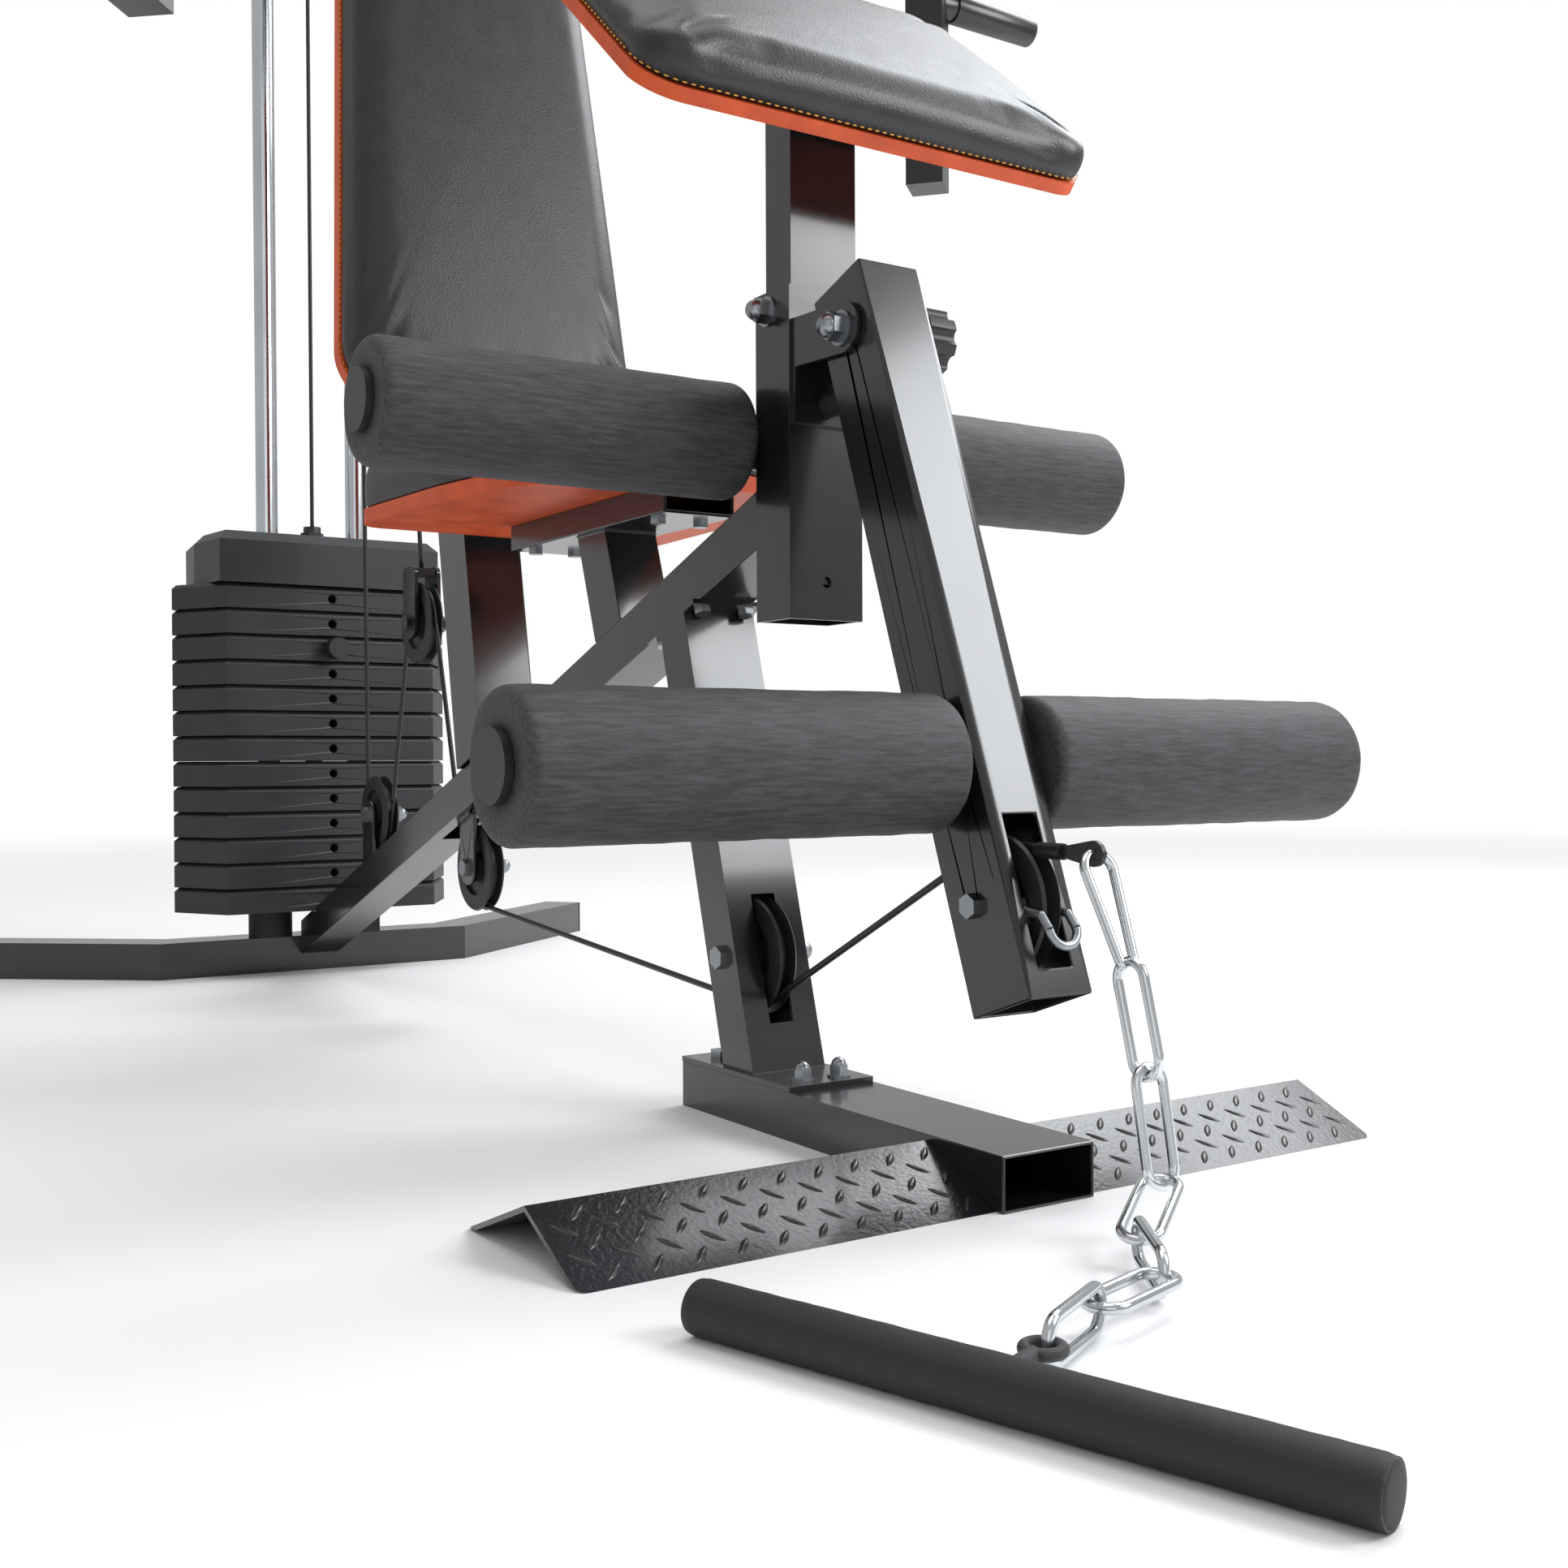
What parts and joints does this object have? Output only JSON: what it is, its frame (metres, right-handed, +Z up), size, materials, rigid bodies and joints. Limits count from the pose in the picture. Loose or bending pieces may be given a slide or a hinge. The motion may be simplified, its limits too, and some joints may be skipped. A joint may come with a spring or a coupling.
{
  "type": "multi_station_gym",
  "caption": "Home gym station with leg developer, elbow pad, seat, weight stack, pulleys and cables",
  "frame": {"origin": "on the floor under the front foot tube, below its middle line, 295.4 mm behind the tube's open front end", "axes": "+X to the right hand side of a viewer who faces the station's front, +Y to the back where the weight stack is, +Z up"},
  "size_m": [1.1182, 2.0659, 2.04],
  "materials": {
    "gloss_black_steel": "powder coated, satin gloss",
    "black_tread_sheet": "hammered paint over raised lozenges",
    "zinc_steel": "zinc plated",
    "chrome_steel": "polished",
    "bright_chain": "bright zinc, slightly worn",
    "black_rubber": "matte",
    "black_plastic": "moulded",
    "black_upholstery": "fine grain vinyl with stitching",
    "orange_board": "coated cloth over a board",
    "foam": "closed-cell foam with faint streaks",
    "cast_weight": "black enamel",
    "press_black": "powder coated",
    "black_cable": "coated steel cable"
  },
  "bodies": {
    "station_frame": {"front_foot": "gloss_black_steel", "tread_plate_left": "black_tread_sheet", "tread_plate_right": "black_tread_sheet", "front_leg": "gloss_black_steel", "main_beam": "gloss_black_steel", "front_post": "gloss_black_steel", "hinge_pin": "zinc_steel", "rubber_stops": "black_rubber", "post_shaft": "chrome_steel", "post_caps": "black_plastic", "pulley_axles": "zinc_steel", "preacher_board": "orange_board", "preacher_pad": "black_upholstery", "preacher_post": "gloss_black_steel", "seat_post": "gloss_black_steel", "seat_board": "orange_board", "seat_pad": "black_upholstery", "upright": "gloss_black_steel", "back_board": "orange_board", "back_pad": "black_upholstery", "rear_foot": "gloss_black_steel", "foot_caps": "black_plastic", "weights_resting": "cast_weight", "guide_rods": "chrome_steel", "boom": "gloss_black_steel", "frame_bolts": "zinc_steel", "cable_leg_span": "black_cable", "cable_block_loop": "black_cable", "cable_fixed": "black_cable", "cable_stack_span": "black_cable", "cable_block_span": "black_cable", "cable_lat_span": "black_cable"},
    "leg_developer": {"leg_arm": "gloss_black_steel", "arm_fittings": "zinc_steel", "arm_shaft": "chrome_steel", "arm_caps": "black_plastic", "cable_arm_end": "black_cable"},
    "chain_and_bar": {"chain": "bright_chain", "floor_bar": "foam"},
    "lifted_stack": {"stack_head": "cast_weight", "weights_lifted": "cast_weight"},
    "selector": {"selector_pin": "black_plastic"},
    "floating_block": {"pulley_block": "gloss_black_steel"},
    "block_wheel_body": {"block_wheel": "black_plastic"},
    "pulldown_bar": {"lat_bar": "press_black"},
    "press_left": {"press_arm_left": "press_black"},
    "press_right": {"press_arm_right": "press_black"},
    "knob": {"star_knob": "black_plastic"},
    "foam_upper_left": {"upper_roller_left": "foam"},
    "foam_upper_right": {"upper_roller_right": "foam"},
    "foam_lower_left": {"lower_roller_left": "foam"},
    "foam_lower_right": {"lower_roller_right": "foam"},
    "wheel_leg": {"leg_pulley": "black_plastic"},
    "wheel_arm": {"arm_pulley": "black_plastic"},
    "wheel_beam": {"beam_pulley": "black_plastic"},
    "wheel_base": {"base_pulley": "black_plastic"},
    "wheel_stack": {"stack_pulley": "black_plastic"},
    "wheel_mid": {"block_pulley": "black_plastic"},
    "wheel_turn": {"turn_pulley": "black_plastic"},
    "wheel_lat": {"lat_pulley": "black_plastic"}
  },
  "joints": [
    {"name": "stack_lift", "type": "slide", "parent": "station_frame", "child": "lifted_stack", "axis": [0, 0, 1], "range_m": [0, 0.17], "deforming": ["cable_stack_span"]},
    {"name": "leg_swing", "type": "hinge", "parent": "station_frame", "child": "leg_developer", "pos_m": [0, -0.1225, 0.5615], "axis": [-1, 0, 0], "range_deg": [0, 60], "deforming": ["cable_leg_span"]},
    {"name": "chain_hang", "type": "hinge", "parent": "leg_developer", "child": "chain_and_bar", "pos_m": [0, -0.3338, 0.21475], "axis": [-1, 0, 0], "range_deg": [-15, 0]},
    {"name": "block_drop", "type": "slide", "parent": "station_frame", "child": "floating_block", "axis": [0, 0, -1], "range_m": [0, 0.17], "deforming": ["cable_block_loop", "cable_block_span"]},
    {"name": "pin_pull", "type": "slide", "parent": "lifted_stack", "child": "selector", "axis": [0, -1, 0], "range_m": [0, 0.078]},
    {"name": "bar_pull", "type": "slide", "parent": "station_frame", "child": "pulldown_bar", "axis": [0, 0, -1], "range_m": [0, 0.36], "deforming": ["cable_lat_span"]},
    {"name": "press_swing_left", "type": "hinge", "parent": "station_frame", "child": "press_left", "pos_m": [-0.13, 0.6, 1.417], "axis": [0, 0, 1], "range_deg": [0, 40]},
    {"name": "press_swing_right", "type": "hinge", "parent": "station_frame", "child": "press_right", "pos_m": [0.13, 0.6, 1.417], "axis": [0, 0, -1], "range_deg": [0, 40]},
    {"name": "knob_turn", "type": "hinge", "parent": "station_frame", "child": "knob", "pos_m": [0.0416, -0.1225, 0.5615], "axis": [1, 0, 0], "continuous": true},
    {"name": "roll_upper_left", "type": "hinge", "parent": "station_frame", "child": "foam_upper_left", "pos_m": [-0.18, 0.00016, 0.5024], "axis": [1, 0, 0], "continuous": true},
    {"name": "roll_upper_right", "type": "hinge", "parent": "station_frame", "child": "foam_upper_right", "pos_m": [0.18, 0.00016, 0.5024], "axis": [1, 0, 0], "continuous": true},
    {"name": "roll_lower_left", "type": "hinge", "parent": "leg_developer", "child": "foam_lower_left", "pos_m": [-0.18, -0.22726, 0.26738], "axis": [1, 0, 0], "continuous": true},
    {"name": "roll_lower_right", "type": "hinge", "parent": "leg_developer", "child": "foam_lower_right", "pos_m": [0.18, -0.22726, 0.26738], "axis": [1, 0, 0], "continuous": true},
    {"name": "turn_leg_pulley", "type": "hinge", "parent": "station_frame", "child": "wheel_leg", "pos_m": [0, 0.0336, 0.1205], "axis": [1, 0, 0], "continuous": true},
    {"name": "turn_arm_pulley", "type": "hinge", "parent": "leg_developer", "child": "wheel_arm", "pos_m": [0, -0.25426, 0.17965], "axis": [1, 0, 0], "continuous": true},
    {"name": "turn_beam_pulley", "type": "hinge", "parent": "station_frame", "child": "wheel_beam", "pos_m": [0, 0.568, 0.16], "axis": [1, 0, 0], "continuous": true},
    {"name": "turn_block_wheel", "type": "hinge", "parent": "floating_block", "child": "block_wheel_body", "pos_m": [0, 0.727, 0.423], "axis": [1, 0, 0], "continuous": true},
    {"name": "turn_base_pulley", "type": "hinge", "parent": "station_frame", "child": "wheel_base", "pos_m": [0, 0.867, 0.207], "axis": [1, 0, 0], "continuous": true},
    {"name": "turn_stack_pulley", "type": "hinge", "parent": "station_frame", "child": "wheel_stack", "pos_m": [0, 1.0755, 1.995], "axis": [1, 0, 0], "continuous": true},
    {"name": "turn_block_pulley", "type": "hinge", "parent": "station_frame", "child": "wheel_mid", "pos_m": [-0.015, 0.94, 1.995], "axis": [1, 0, 0], "continuous": true},
    {"name": "turn_turn_pulley", "type": "hinge", "parent": "station_frame", "child": "wheel_turn", "pos_m": [0.015, 0.94, 1.995], "axis": [1, 0, 0], "continuous": true},
    {"name": "turn_lat_pulley", "type": "hinge", "parent": "station_frame", "child": "wheel_lat", "pos_m": [0, 0.295, 1.995], "axis": [1, 0, 0], "continuous": true}
  ],
  "couplings": [
    {"joint": "leg_swing", "follows": "stack_lift", "rad_per_m": 6.16},
    {"joint": "chain_hang", "follows": "stack_lift", "rad_per_m": -1.54},
    {"joint": "block_drop", "follows": "stack_lift", "ratio": 1},
    {"joint": "turn_leg_pulley", "follows": "stack_lift", "rad_per_m": 51.948},
    {"joint": "turn_arm_pulley", "follows": "stack_lift", "rad_per_m": -51.948},
    {"joint": "turn_beam_pulley", "follows": "stack_lift", "rad_per_m": 51.948},
    {"joint": "turn_block_wheel", "follows": "stack_lift", "rad_per_m": -25.974},
    {"joint": "turn_stack_pulley", "follows": "stack_lift", "rad_per_m": 25.974},
    {"joint": "turn_block_pulley", "follows": "stack_lift", "rad_per_m": 25.974},
    {"joint": "turn_lat_pulley", "follows": "bar_pull", "rad_per_m": 25.974},
    {"joint": "turn_turn_pulley", "follows": "bar_pull", "rad_per_m": 25.974},
    {"joint": "turn_base_pulley", "follows": "bar_pull", "rad_per_m": -25.974}
  ]
}
